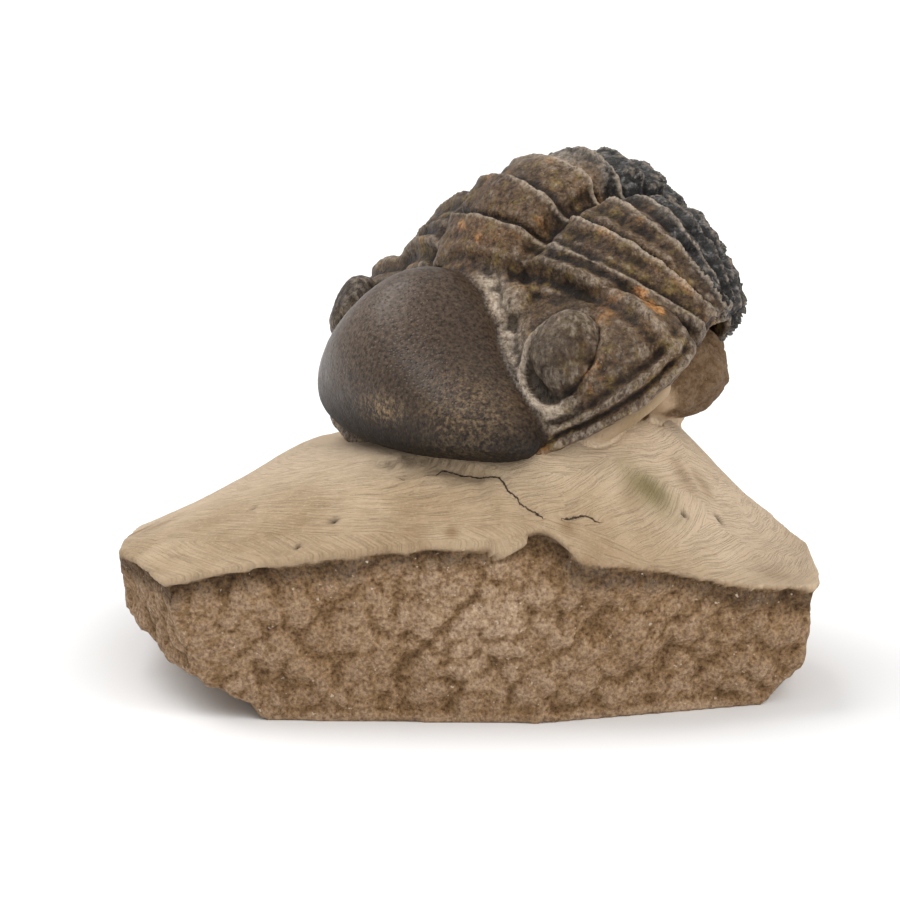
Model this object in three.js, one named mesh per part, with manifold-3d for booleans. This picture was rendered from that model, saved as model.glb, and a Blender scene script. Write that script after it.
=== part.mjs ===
// A trilobite fossil, half rolled up, standing on the block of limestone that it was prepared from.
//
// The object is two pieces of different stone. The trilobite is dark calcite: a head with a large smooth
// egg-shaped glabella, two eyes, cheeks and a rounded border, then eleven thoracic rings that fan over an
// arched back, and a small tail. The limestone block is broken on its sides and under its left end, and its
// top has been carved down into a pedestal that carries the fossil.
//
// Units are millimetres and +Z is up. The origin is under the middle of the block, on the face that it
// rests on. +X runs along the block's length, and the animal looks towards -X and -Y.

import * as THREE from 'three';
import { mergeVertices } from 'three/addons/utils/BufferGeometryUtils.js';
import Module from 'manifold-3d';

const wasm = await Module();
wasm.setup();

// ---------------------------------------------------------------- driving dimensions

const BLOCK = { length: 106.4, depth: 90, roof: 70 };  // the rough block before it is carved
const TOUCH_GAP = 0.3;                                 // clearance between the fossil and its bed

const HEADING = THREE.MathUtils.degToRad(217.5);  // where the animal looks, turned from +X about Z
const EYE_LINE = new THREE.Vector3(1.8, -4.5, 47.3);  // middle of the head, on its margin plane
const NOSE_DOWN = THREE.MathUtils.degToRad(36.5);     // pitch of the head's margin plane

// Head, measured from the eye line: x forwards, y to the animal's left, z up from the margin plane.
const HEAD = { front: 21, halfWidth: 40, rear: 17, widest: -9, domeHeight: 11.5, belly: 7 };
const GLABELLA = { x: 6.5, z: 7.2, length: 17.5, halfWidth: 22, above: 13, below: 12.5, taper: 0.12 };
const EYE = { x: -1, y: 26.5, z: 7, length: 7.2, halfWidth: 5.6, height: 7 };
const NECK_RINGS = [
  { x: -9, z: 10, length: 2.6, halfWidth: 8, height: 6 },
  { x: -13, z: 10.5, length: 3.2, halfWidth: 10.5, height: 7.4 },
];
const BORDER = { radius: 2, sides: 8, steps: 26 };

// Thorax and tail: rings in planes that all pass through one line across the body, the hinge line.
const HINGE_LINE = { x: -22.5, z: 50 };          // in the plane of symmetry
const ARCH = { front: 30.5, top: 28, rear: 19.5 };  // from the hinge line to the crest of the back
const RINGS = { count: 11, first: -44, last: 72 };  // angles from the vertical, in degrees
const NECK_START = -62;                          // the body goes on into the head, as far as this
const TAIL_END = 118;
const END_CLEARANCE = 4;                         // degrees added at each end of the body per mm of gap
const THORAX = { front: 36, rear: 26, axisFront: 10.5, axisRear: 8.5, flank: 20.5, axisDrop: 4 };
const RIPPLE = 0.9;                              // how far a ring stands out between two furrows
const RIB_TIP = 1.6;                             // thickness of a rib's tip

// The pedestal: an oval foot, long across the animal, from which the carved top falls away.
const FOOT = { x: 2, y: 0, along: 23, across: 32, height: 36, tilt: 0.17 };
// The lower ground that the pedestal runs out into, and how softly it does so.
const APRON = { height: 14.5, tilt: 4.5, blend: 6 };

// Planes along which the block broke: a point on each and the direction that it faces.
const BREAKS = [
  { at: [-30, -40, 0], faces: [-0.04, -0.98, -0.17] },     // front, left part
  { at: [49, -30.5, 0], faces: [0.12, -0.96, -0.25] },     // front, right part
  { at: [-30, -40, 0], faces: [-0.48, -0.10, -0.87] },     // under the left end
  { at: [-45, -42, 20], faces: [-0.89, -0.37, -0.26] },    // left end
  { at: [-46, 28, 10], faces: [-0.80, 0.58, -0.14] },      // left end, back
  { at: [51.8, -34, 14], faces: [0.98, -0.10, -0.16] },    // right end
  { at: [51, -35, 12], faces: [0.66, -0.74, 0.06] },       // right end, front corner
  { at: [50.5, -28, 4], faces: [0.62, -0.22, -0.74] },       // right end, lower edge
  { at: [44, 16, 12], faces: [0.80, 0.60, 0.04] },         // right end, back
  { at: [5, 44.6, 14], faces: [0.06, 0.99, 0.05] },        // back
  { at: [-10, 38, 0], faces: [-0.10, 0.72, -0.69] },       // back, lower edge
];

// ---------------------------------------------------------------- solids and booleans

// A closed geometry whose vertices are shared becomes a solid that can be joined and cut.
function solidOf(geometry) {
  const bare = geometry.clone();
  bare.deleteAttribute('normal');
  bare.deleteAttribute('uv');
  const merged = mergeVertices(bare, 1e-4);
  const mesh = new wasm.Mesh({
    numProp: 3,
    vertProperties: new Float32Array(merged.attributes.position.array),
    triVerts: new Uint32Array(merged.index.array),
  });
  return new wasm.Manifold(mesh);
}

function geometryOf(solid) {
  const { vertProperties, triVerts } = solid.getMesh();
  const geometry = new THREE.BufferGeometry();
  geometry.setAttribute('position', new THREE.BufferAttribute(new Float32Array(vertProperties), 3));
  geometry.setIndex(new THREE.BufferAttribute(new Uint32Array(triVerts), 1));
  return geometry;
}

// Keeps the outer skin of the largest piece, without crumbs or sealed pockets.
function largestOf(solid) {
  return solid.decompose().sort((a, b) => b.volume() - a.volume())[0];
}

// A ball whose vertices are moved from the unit sphere by a function of their place on it.
function shapedBall(across, down, place) {
  const geometry = new THREE.SphereGeometry(1, across, down);
  geometry.rotateX(Math.PI / 2);
  const points = geometry.attributes.position;
  const point = new THREE.Vector3();
  for (let i = 0; i < points.count; i += 1) {
    place(point.fromBufferAttribute(points, i));
    points.setXYZ(i, point.x, point.y, point.z);
  }
  return geometry;
}

function ellipsoid(centre, half, across = 16, down = 10) {
  return shapedBall(across, down, (p) => p.multiply(half).add(centre));
}

// Rings of points, each with the same number, become a closed skin with a cap at each end.
function loft(rings) {
  const around = rings[0].length;
  const positions = rings.flat().flatMap((p) => [p.x, p.y, p.z]);
  const index = [];
  for (let i = 0; i < rings.length - 1; i += 1) {
    for (let j = 0; j < around; j += 1) {
      const a = i * around + j;
      const b = i * around + ((j + 1) % around);
      index.push(a, b, a + around, b, b + around, a + around);
    }
  }
  const last = (rings.length - 1) * around;
  for (let j = 1; j < around - 1; j += 1) {
    index.push(0, j + 1, j);
    index.push(last, last + j, last + j + 1);
  }
  const geometry = new THREE.BufferGeometry();
  geometry.setAttribute('position', new THREE.Float32BufferAttribute(positions, 3));
  geometry.setIndex(index);
  return geometry;
}

// ---------------------------------------------------------------- the head

// The outline of the head from above: a half oval in front, squared off behind.
function marginPoint(turn, inset = 0) {
  const c = Math.cos(turn);
  const s = Math.sin(turn);
  const reach = c > 0 ? HEAD.front - HEAD.widest : HEAD.rear + HEAD.widest;
  const squareness = c > 0 ? 1 : 0.62;
  const x = HEAD.widest + (reach - inset) * Math.sign(c) * Math.abs(c) ** squareness;
  const y = (HEAD.halfWidth - inset) * Math.sign(s) * Math.abs(s) ** (c > 0 ? 0.92 : 0.8);
  return new THREE.Vector3(x, y, 0);
}

function headDome(grow) {
  return shapedBall(32, 14, (p) => {
    const turn = Math.atan2(p.y, p.x);
    const flat = Math.hypot(p.x, p.y);
    const edge = marginPoint(turn, -grow);
    const z = p.z > 0 ? p.z * (HEAD.domeHeight + grow) : p.z * (HEAD.belly + grow);
    const x = HEAD.widest + (edge.x - HEAD.widest) * flat;
    p.set(x, edge.y * flat, z);
  });
}

function glabella(grow) {
  return shapedBall(26, 18, (p) => {
    const width = (GLABELLA.halfWidth + grow) * (1 - GLABELLA.taper + GLABELLA.taper * p.x);
    const height = (p.z > 0 ? GLABELLA.above : GLABELLA.below) + grow;
    p.set(
      GLABELLA.x + p.x * (GLABELLA.length + grow),
      p.y * width,
      GLABELLA.z + p.z * height,
    );
  });
}

function eye(side, grow) {
  const centre = new THREE.Vector3(EYE.x, side * EYE.y, EYE.z);
  const half = new THREE.Vector3(EYE.length, EYE.halfWidth, EYE.height).addScalar(grow);
  return ellipsoid(centre, half);
}

function neckRing(ring, grow) {
  const centre = new THREE.Vector3(ring.x, 0, ring.z);
  const half = new THREE.Vector3(ring.length, ring.halfWidth, ring.height).addScalar(grow);
  return ellipsoid(centre, half, 18, 8);
}

// The rounded border that runs round the front of the head, from cheek corner to cheek corner.
function headBorder(grow) {
  const sweep = THREE.MathUtils.degToRad(118);
  const points = [];
  for (let i = 0; i <= 12; i += 1) {
    points.push(marginPoint(THREE.MathUtils.lerp(-sweep, sweep, i / 12), 1));
  }
  const section = new THREE.Shape();
  section.absarc(0, 0, BORDER.radius + grow, 0, Math.PI * 2);
  const path = new THREE.CatmullRomCurve3(points);
  return new THREE.ExtrudeGeometry(section, {
    steps: BORDER.steps,
    curveSegments: BORDER.sides / 2,
    extrudePath: path,
  });
}

function head(grow) {
  const pieces = [
    headDome(grow),
    glabella(grow),
    eye(1, grow),
    eye(-1, grow),
    ...NECK_RINGS.map((ring) => neckRing(ring, grow)),
    headBorder(grow),
  ];
  const seat = new THREE.Matrix4().makeRotationY(NOSE_DOWN);
  seat.setPosition(0, 0, EYE_LINE.z);
  return pieces.map((piece) => solidOf(piece.applyMatrix4(seat))).reduce((a, b) => a.add(b));
}

// ---------------------------------------------------------------- thorax and tail

const RING_PITCH = (RINGS.last - RINGS.first) / RINGS.count;

// Half width of the body, and of its raised axis, at an angle round the hinge line.
function bodyWidths(angle) {
  if (angle < RINGS.first) {
    return { full: 0.9 * THORAX.front, axis: THORAX.axisFront };
  }
  if (angle <= RINGS.last) {
    const along = (angle - RINGS.first) / (RINGS.last - RINGS.first);
    const full = THREE.MathUtils.lerp(THORAX.front, THORAX.rear, along ** 1.8);
    return { full, axis: THREE.MathUtils.lerp(THORAX.axisFront, THORAX.axisRear, along) };
  }
  const along = (angle - RINGS.last) / (TAIL_END - RINGS.last);
  const taper = Math.sqrt(Math.max(0.03, 1 - along ** 2));
  return { full: THORAX.rear * taper, axis: THORAX.axisRear * (1 - 0.75 * along) };
}

// How far the skin lies below the crest of the back, across the body.
function dropAt(y, widths) {
  const flank = THORAX.flank * (widths.full / THORAX.front);
  const out = Math.abs(y);
  if (out < widths.axis) {
    return THORAX.axisDrop * (out / widths.axis) ** 2;
  }
  const along = (out - widths.axis) / (widths.full - widths.axis);
  return THREE.MathUtils.lerp(THORAX.axisDrop, flank, 0.22 * along + 0.78 * along ** 2.3);
}

// The back rises high behind the head, then falls in a longer curve towards the tail.
function crestRadius(angle) {
  const toFront = THREE.MathUtils.smoothstep(-angle, 0, -RINGS.first);
  const toRear = THREE.MathUtils.smoothstep(angle, 0, RINGS.last);
  return ARCH.top + (ARCH.front - ARCH.top) * toFront + (ARCH.rear - ARCH.top) * toRear;
}

function bodySection(angle, grow) {
  const widths = bodyWidths(angle);
  const a = THREE.MathUtils.degToRad(angle);
  const crest = crestRadius(angle);
  const phase = ((angle - RINGS.first) / RING_PITCH) % 1;
  const onThorax = angle >= RINGS.first && angle <= RINGS.last;
  const ripple = angle < RINGS.first ? -2 : RIPPLE * Math.sin(Math.PI * phase) * (onThorax ? 1 : 0.4);
  const points = [];
  const across = 18;
  const place = (y, radius) => points.push(new THREE.Vector3(
    HINGE_LINE.x - Math.sin(a) * radius,
    y,
    HINGE_LINE.z + Math.cos(a) * radius,
  ));
  for (let i = 0; i <= across; i += 1) {
    const side = Math.sin(Math.PI * (i / across - 0.5));
    place((widths.full + grow) * side, crest - dropAt(widths.full * side, widths) + ripple + grow);
  }
  const tip = crest - dropAt(widths.full, widths) + ripple;
  const underside = [[0.97, RIB_TIP], [0.4, RIB_TIP + 1], [-0.4, RIB_TIP + 1], [-0.97, RIB_TIP]];
  for (const [side, depth] of underside) {
    place((widths.full + grow) * side, tip - depth - grow);
  }
  return points;
}

function body(grow) {
  const start = NECK_START - END_CLEARANCE * grow;
  const rings = [bodySection(start, grow), bodySection((NECK_START + RINGS.first) / 2, grow)];
  const steps = RINGS.count * 3;
  for (let i = 0; i <= steps; i += 1) {
    rings.push(bodySection(THREE.MathUtils.lerp(RINGS.first, RINGS.last, i / steps), grow));
  }
  for (let i = 1; i <= 8; i += 1) {
    rings.push(bodySection(THREE.MathUtils.lerp(RINGS.last, TAIL_END, i / 8), grow));
  }
  rings.push(bodySection(TAIL_END + END_CLEARANCE * grow, grow));
  return solidOf(loft(rings));
}

// ---------------------------------------------------------------- the whole animal

function trilobiteSolid(grow) {
  const place = new THREE.Matrix4().makeRotationZ(HEADING);
  place.setPosition(EYE_LINE.x, EYE_LINE.y, 0);
  const animal = largestOf(head(grow).add(body(grow)));
  return solidOf(geometryOf(animal).applyMatrix4(place));
}

// ---------------------------------------------------------------- the limestone

// Ground height of the carved top. It falls away from the foot gently in front of the animal's nose and
// steeply on its left side, and the foot itself stands higher on that side.
function carvedTop(x, y) {
  const dx = x - FOOT.x;
  const dy = y - FOOT.y;
  const ahead = dx * Math.cos(HEADING) + dy * Math.sin(HEADING);
  const left = -dx * Math.sin(HEADING) + dy * Math.cos(HEADING);
  const reach = Math.hypot(ahead / FOOT.along, left / FOOT.across);
  const out = Math.max(0, Math.hypot(dx, dy) * (1 - 1 / Math.max(reach, 1)));
  const turn = Math.atan2(left, ahead);
  const slope = 0.95 - 0.4 * Math.cos(turn) + 0.22 * Math.sin(turn) - 0.15 * Math.cos(2 * turn);
  const side = THREE.MathUtils.clamp(left, -FOOT.across, FOOT.across);
  const eased = Math.sqrt(out * out + 9) - 3;
  const fall = FOOT.height + FOOT.tilt * side - slope * eased;
  const apron = APRON.height + APRON.tilt * Math.sin(turn);
  return (fall + apron + Math.hypot(fall - apron, APRON.blend)) / 2;
}

function breakCutter({ at, faces }) {
  const slab = new THREE.BoxGeometry(260, 260, 120);
  slab.translate(0, 0, 60);
  const up = new THREE.Vector3(0, 0, 1);
  const turn = new THREE.Quaternion().setFromUnitVectors(up, new THREE.Vector3(...faces).normalize());
  slab.applyQuaternion(turn);
  slab.translate(...at);
  return solidOf(slab);
}

function carvedBlock() {
  const cells = { x: 30, y: 22 };
  const geometry = new THREE.BoxGeometry(BLOCK.length, BLOCK.depth, BLOCK.roof, cells.x, cells.y, 1);
  geometry.translate(0, 0, BLOCK.roof / 2);
  const points = geometry.attributes.position;
  for (let i = 0; i < points.count; i += 1) {
    if (points.getZ(i) > BLOCK.roof / 2) {
      points.setZ(i, carvedTop(points.getX(i), points.getY(i)));
    }
  }
  return BREAKS.map(breakCutter).reduce((rock, cutter) => rock.subtract(cutter), solidOf(geometry));
}

// Stone that still fills the roll of the body and holds it up from inside.
function rollFilling() {
  const place = new THREE.Matrix4().makeRotationZ(HEADING);
  place.setPosition(EYE_LINE.x, EYE_LINE.y, 0);
  const centre = new THREE.Vector3(HINGE_LINE.x + 3, 0, HINGE_LINE.z - 3);
  const half = new THREE.Vector3(18, 29, 14);
  return solidOf(ellipsoid(centre, half, 24, 14).applyMatrix4(place));
}

function limestoneSolid() {
  const rock = carvedBlock().add(rollFilling());
  return largestOf(rock.subtract(trilobiteSolid(TOUCH_GAP)));
}

// ---------------------------------------------------------------- the scene graph

const calcite = new THREE.MeshStandardMaterial({ color: 0x3a322c, roughness: 0.5, metalness: 0 });
const limestone = new THREE.MeshStandardMaterial({ color: 0xb09878, roughness: 0.9, metalness: 0 });

function part(name, solid, material) {
  const mesh = new THREE.Mesh(geometryOf(solid), material);
  mesh.name = name;
  return mesh;
}

const group = new THREE.Group();
group.add(part('limestone_block', limestoneSolid(), limestone));
group.add(part('trilobite', trilobiteSolid(0), calcite));

export default group;
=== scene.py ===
# %% [markdown]
# # A trilobite on its rock
# The real object is two stones. A dark calcite trilobite, half rolled up, lies on the block of pale
# limestone that it was freed from. This lesson models both: the animal is built from simple primitives
# that are joined, remeshed and then worked over in code as a sculptor would, and the rock is cut from a
# box. The finishes are procedural.
#
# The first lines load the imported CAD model. It is the frame: every size below is counted in its
# millimetres.

import math

import bpy
import numpy as np
from mathutils import Matrix, Vector


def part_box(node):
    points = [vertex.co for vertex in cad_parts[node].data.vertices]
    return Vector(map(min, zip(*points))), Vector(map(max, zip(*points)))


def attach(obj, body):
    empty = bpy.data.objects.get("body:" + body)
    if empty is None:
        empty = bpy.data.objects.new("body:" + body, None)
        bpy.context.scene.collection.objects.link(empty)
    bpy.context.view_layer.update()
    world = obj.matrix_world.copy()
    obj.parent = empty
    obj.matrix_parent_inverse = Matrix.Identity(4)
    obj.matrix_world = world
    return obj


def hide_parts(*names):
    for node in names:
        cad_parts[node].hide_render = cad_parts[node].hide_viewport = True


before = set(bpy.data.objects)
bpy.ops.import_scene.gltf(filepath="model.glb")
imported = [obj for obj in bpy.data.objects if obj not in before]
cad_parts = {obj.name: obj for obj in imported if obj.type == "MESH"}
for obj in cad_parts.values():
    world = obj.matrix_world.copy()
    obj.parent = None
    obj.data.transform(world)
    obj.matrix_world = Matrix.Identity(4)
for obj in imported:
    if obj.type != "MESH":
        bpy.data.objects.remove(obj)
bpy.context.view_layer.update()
block_low, block_high = [np.array(corner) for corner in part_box("limestone_block")]
animal_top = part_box("trilobite")[1][2]
CAD_BLOCK_LENGTH = 106.4
MM = (block_high[0] - block_low[0]) / CAD_BLOCK_LENGTH
print("one millimetre of the object is", round(MM * 1000, 4), "mm in the frame")
print("the animal stands", round(animal_top / MM, 1), "mm high")

# %% [markdown]
# ## The camera first
# The camera looks along +Y and a little down, from half a metre away through a long lens, so that the
# block keeps its proportions. It aims at the middle of the object, and the floor is one pale sheet that
# runs past the view.

# %% Camera and floor
VIEW_DISTANCE = 500
VIEW_TILT = math.radians(12)
LENS = 127
SENSOR = 36
AIM = Vector((-2.7, -4.0, 33.5)) * MM


def add_camera():
    back = Vector((0, -math.cos(VIEW_TILT), math.sin(VIEW_TILT)))
    data = bpy.data.cameras.new("studio_camera")
    data.lens = LENS
    data.sensor_width = SENSOR
    data.clip_start = 0.01
    camera = bpy.data.objects.new("studio_camera", data)
    camera.location = AIM + back * VIEW_DISTANCE * MM
    camera.rotation_euler = (math.pi / 2 - VIEW_TILT, 0, 0)
    bpy.context.collection.objects.link(camera)
    bpy.context.scene.camera = camera


add_camera()
print("camera aims at", tuple(round(c / MM, 1) for c in AIM), "mm")

# %% [markdown]
# ## Helpers for working with primitives
# Operators act on whatever is selected, so each helper clears the selection first. Points are read and
# written as one numpy array, because moving a hundred thousand of them one by one would take minutes.

# %% Selecting, joining and reading points
def deselect_all():
    if bpy.context.mode != "OBJECT":
        bpy.ops.object.mode_set(mode="OBJECT")
    bpy.ops.object.select_all(action="DESELECT")


def pick(*pieces):
    deselect_all()
    for piece in pieces:
        piece.select_set(True)
    bpy.context.view_layer.objects.active = pieces[-1]


def named(name):
    piece = bpy.context.active_object
    piece.name = name
    piece.data.name = name
    return piece


def read_triples(items, name):
    flat = np.empty(len(items) * 3)
    items.foreach_get(name, flat)
    return flat.reshape(-1, 3)


def rows(*columns):
    return np.stack(columns, axis=1)


def get_points(piece):
    return read_triples(piece.data.vertices, "co")


def get_normals(piece):
    return read_triples(piece.data.vertex_normals, "vector")


def set_points(piece, points):
    piece.data.vertices.foreach_set("co", points.ravel())
    piece.data.update()


def seat(piece, matrix):
    """Puts a piece's place and a matrix into its mesh, so that its object stays at the origin."""
    piece.data.transform(matrix @ piece.matrix_basis)
    piece.matrix_basis = Matrix.Identity(4)


def extrude_down(piece, depth):
    """Turns a sheet into a closed block."""
    pick(piece)
    bpy.ops.object.mode_set(mode="EDIT")
    bpy.ops.mesh.select_all(action="SELECT")
    bpy.ops.mesh.extrude_region_move(TRANSFORM_OT_translate={"value": (0, 0, -depth)})
    bpy.ops.mesh.select_all(action="SELECT")
    bpy.ops.mesh.normals_make_consistent(inside=False)
    bpy.ops.object.mode_set(mode="OBJECT")


def join(name, pieces):
    pick(*pieces)
    bpy.ops.object.join()
    return named(name)


def copy_of(piece, name):
    twin = piece.copy()
    twin.data = piece.data.copy()
    twin.name = name
    bpy.context.collection.objects.link(twin)
    return twin


def apply_modifier(piece, kind, **settings):
    pick(piece)
    modifier = piece.modifiers.new(kind.lower(), kind)
    for key, value in settings.items():
        setattr(modifier, key, value)
    bpy.ops.object.modifier_apply(modifier=modifier.name)


def remesh(piece, cell):
    """Fuses everything in a piece into one closed skin of even cells."""
    apply_modifier(piece, "REMESH", mode="VOXEL", voxel_size=cell * MM, use_smooth_shade=True)
    apply_modifier(piece, "SMOOTH", factor=0.5, iterations=2)
    print(piece.name, "has", len(piece.data.vertices), "points after remeshing")


# %% [markdown]
# ## Helpers for weathered stone
# Stone is uneven at every scale. `mottle` gives a smooth random value from -1 to 1 that changes over a
# chosen distance, and `lumps` gives the distance to the nearest of many scattered centres, which makes
# grains and knobs. Both are repeatable, because the random number of a cell comes from the cell's own
# place.

# %% Repeatable noise
def cell_random(cells, seed):
    x, y, z = (cells[..., i].astype(np.int64) for i in range(3))
    mixed = (x * 73856093) ^ (y * 19349663) ^ (z * 83492791) ^ (seed * 2654435761)
    mixed = ((mixed ^ (mixed >> 13)) * 1274126177) & 0x7FFFFFFF
    return ((mixed ^ (mixed >> 15)) & 0xFFFF) / 65535.0


def mottle(points, size, seed):
    place = points / size
    cell = np.floor(place)
    part = place - cell
    part = part * part * (3 - 2 * part)
    total = np.zeros(len(points))
    for corner in np.ndindex(2, 2, 2):
        weight = np.abs(1 - np.array(corner) - part).prod(axis=1)
        total += weight * cell_random(cell + corner, seed)
    return total * 2 - 1


def rough(points, size, seed, octaves=3):
    total = np.zeros(len(points))
    for octave in range(octaves):
        total += mottle(points, size / 2 ** octave, seed + octave) / 2 ** octave
    return total / 1.75


def lumps(points, size, seed):
    """Distance to the nearest of the scattered centres, in units of size."""
    place = points / size
    cell = np.floor(place)
    nearest = np.full(len(points), 9.0)
    for step in np.ndindex(3, 3, 3):
        other = cell + step - 1
        jitter = np.stack([cell_random(other, seed + i) for i in range(3)], axis=1)
        nearest = np.minimum(nearest, np.linalg.norm(place - other - jitter, axis=1))
    return nearest


def ramp(value, low, high):
    """0 up to low, 1 from high on, and a smooth rise between them. It falls when high is below low."""
    t = np.clip((value - low) / (high - low), 0, 1)
    return t * t * (3 - 2 * t)


def hill(value, middle, width):
    return np.exp(-((value - middle) / width) ** 2)


def blurred(piece, values, rounds):
    """Averages a value, or a place, over each point's neighbours a number of times."""
    edges = np.empty(len(piece.data.edges) * 2, dtype=np.int64)
    piece.data.edges.foreach_get("vertices", edges)
    a, b = edges.reshape(-1, 2).T
    count = np.bincount(a, minlength=len(values)) + np.bincount(b, minlength=len(values)) + 1
    result = values.astype(float)
    columns = result.reshape(len(values), -1).T
    for _ in range(rounds):
        near = [(np.bincount(a, c[b], len(values)), np.bincount(b, c[a], len(values))) for c in columns]
        columns = [(c + one_way + other_way) / count for c, (one_way, other_way) in zip(columns, near)]
    return np.stack(columns, axis=1).reshape(values.shape)


def hollows(piece, rounds, depth):
    """About 1 in a groove, -1 on a crest and 0 on flat stone, at the scale that the rounds reach."""
    points = get_points(piece)
    lift = ((blurred(piece, points, rounds) - points) * get_normals(piece)).sum(axis=1)
    return np.clip(lift / (depth * MM), -1, 1)


def paint(piece, name, values):
    """Stores a value for each point, which the material reads by its name."""
    layer = piece.data.attributes.new(name, "FLOAT", "POINT")
    layer.data.foreach_set("value", np.asarray(values, dtype=np.float32))


print("noise test:", mottle(np.array([[1.0, 2.0, 3.0]]), 2.5, 7))

# %% [markdown]
# ## Where the animal lies
# The head has its own axes: x forwards, y to the animal's left and z up from the plane of its margin.
# It is pitched nose down. The thorax and tail use axes that stay level. These are the same places as in
# the CAD model.

# %% Axes of the animal
HEADING = math.radians(217.5)
NOSE_DOWN = math.radians(36.5)
EYE_LINE = Vector((1.8, -4.5, 47.3))
TO_METRES = Matrix.Scale(MM, 4)
turned = Matrix.Rotation(HEADING, 4, "Z")
BODY_AXES = TO_METRES @ Matrix.Translation((EYE_LINE.x, EYE_LINE.y, 0)) @ turned
HEAD_AXES = TO_METRES @ Matrix.Translation(EYE_LINE) @ turned @ Matrix.Rotation(NOSE_DOWN, 4, "Y")


def seen_from(axes, points):
    """Where points lie along a set of axes. HEAD_AXES and BODY_AXES turn metres into millimetres."""
    inverse = np.array(axes.inverted())
    return points @ inverse[:3, :3].T + inverse[:3, 3]


# %% [markdown]
# ## The head
# The head is a low dome with a half-oval outline. On it sit the glabella, which is the egg-like
# swelling over the stomach, two tall eyes, and the rings of the neck. Each starts as a sphere of the
# right size in the right place, and its points are moved a little to give it its taper. A later remesh
# fuses them.

# %% Head pieces
HEAD = {"front": 21, "half_width": 40, "rear": 17, "widest": -9, "dome": 11.5, "belly": 7}
GLABELLA = {
    "centre": (9.4, 0.4, 5.8),
    "half": (17.6, 21.4, 14.25),
    "taper": 0.49,
    "flare": 0.36,
    "dip": 0.93,
    "swing": -0.17,
    "girth": 17,
}
SQUASH = {"below": 1.5, "keep": 0.22, "behind": 15}
EYE = {"centre": (1.0, 26.6, 6.3), "across": 5.5, "out": 4.6, "tall": 8.0}
FAR_CHEEK_SCALE = 0.93
FAR_EYE_SCALE = 0.84


def margin_reach(turn):
    """Where the head's margin lies in a direction seen from above, from the head's widest place."""
    c = np.cos(turn)
    s = np.sin(turn)
    ahead = c > 0
    length = np.where(ahead, HEAD["front"] - HEAD["widest"], HEAD["rear"] + HEAD["widest"])
    x = length * np.sign(c) * np.abs(c) ** np.where(ahead, 1, 0.62)
    y = HEAD["half_width"] * np.sign(s) * np.abs(s) ** np.where(ahead, 0.92, 0.8)
    return x, y


def ball(name, centre, half, segments=40, rings=24):
    deselect_all()
    bpy.ops.mesh.primitive_uv_sphere_add(segments=segments, ring_count=rings, location=centre, scale=half)
    piece = named(name)
    seat(piece, Matrix.Identity(4))
    return piece


def cheeks():
    piece = ball("cheeks", (0, 0, 0), (1, 1, 1), 96, 48)
    p = get_points(piece)
    x, y = margin_reach(np.arctan2(p[:, 1], p[:, 0]))
    out = np.hypot(p[:, 0], p[:, 1])
    z = np.where(p[:, 2] > 0, HEAD["dome"], HEAD["belly"]) * p[:, 2]
    crushed = np.where(y < 0, FAR_CHEEK_SCALE, 1.0)
    set_points(piece, rows(HEAD["widest"] + x * out, y * out * crushed, z * crushed))
    return piece


GLABELLA_AXES = (
    Matrix.Translation(GLABELLA["centre"])
    @ Matrix.Rotation(GLABELLA["swing"], 4, "Z")
    @ Matrix.Rotation(GLABELLA["dip"], 4, "Y")
)


def glabella_width(along, left):
    """How much wider than a ball the glabella is. It flares on its left, where it meets the cheek."""
    flare = ramp(along, -0.6, 0.0) * (1 - ramp(along, 0.1, 0.75)) * ramp(left, 0, 0.8)
    return np.maximum(0.1, 1 + GLABELLA["taper"] * along) * (1 + GLABELLA["flare"] * flare)


def front_reach(z):
    """How much of its overhang the glabella keeps. It has little where it meets the margin."""
    return 0.4 + 0.6 * ramp(z, -1, 9)


def draw_back(x, reach):
    return np.where(x > SQUASH["behind"], SQUASH["behind"] + (x - SQUASH["behind"]) * reach, x)


def flatten_below(z, keep):
    return np.where(z < SQUASH["below"], SQUASH["below"] + (z - SQUASH["below"]) * keep, z)


def glabella():
    """A pear: wide where it overhangs the front of the head, narrow towards the neck."""
    piece = ball("glabella", (0, 0, 0), GLABELLA["half"], 64, 48)
    p = get_points(piece)
    p[:, 1] *= glabella_width(p[:, 0] / GLABELLA["half"][0], p[:, 1] / GLABELLA["half"][1])
    set_points(piece, p)
    seat(piece, GLABELLA_AXES)
    x, y, z = get_points(piece).T
    x = draw_back(x, front_reach(z))
    set_points(piece, rows(x, y, flatten_below(z, SQUASH["keep"])))
    return piece


def on_glabella(h):
    """1 on the glabella's surface, 0 in its middle and more than 1 outside it."""
    x, y, z = h.T
    z = flatten_below(z, 1 / SQUASH["keep"])
    x = draw_back(x, 1 / front_reach(z))
    q = seen_from(GLABELLA_AXES, rows(x, y, z))
    length, half, height = GLABELLA["half"]
    width = half * glabella_width(q[:, 0] / length, q[:, 1] / half)
    return np.sqrt((q[:, 0] / length) ** 2 + (q[:, 1] / width) ** 2 + (q[:, 2] / height) ** 2)


def clear_of_glabella(h):
    """About how many mm a place is outside the glabella."""
    return (on_glabella(h) - 1) * GLABELLA["girth"]


EYE_ACROSS = Vector((-0.64, 0.61, -0.47))
EYE_UP = Vector((-0.68, -0.17, 0.71))


def eye_axes(side):
    """The eye leans back and outwards. Its columns are across it, out of it and up it."""
    across = EYE_ACROSS.normalized()
    up = (EYE_UP - EYE_UP.dot(across) * across).normalized()
    out = up.cross(across).normalized()
    columns = Matrix((across, out, up)).transposed().to_4x4()
    mirror = Matrix.Diagonal((1, side, 1, 1))
    return mirror @ Matrix.Translation(EYE["centre"]) @ columns


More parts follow.
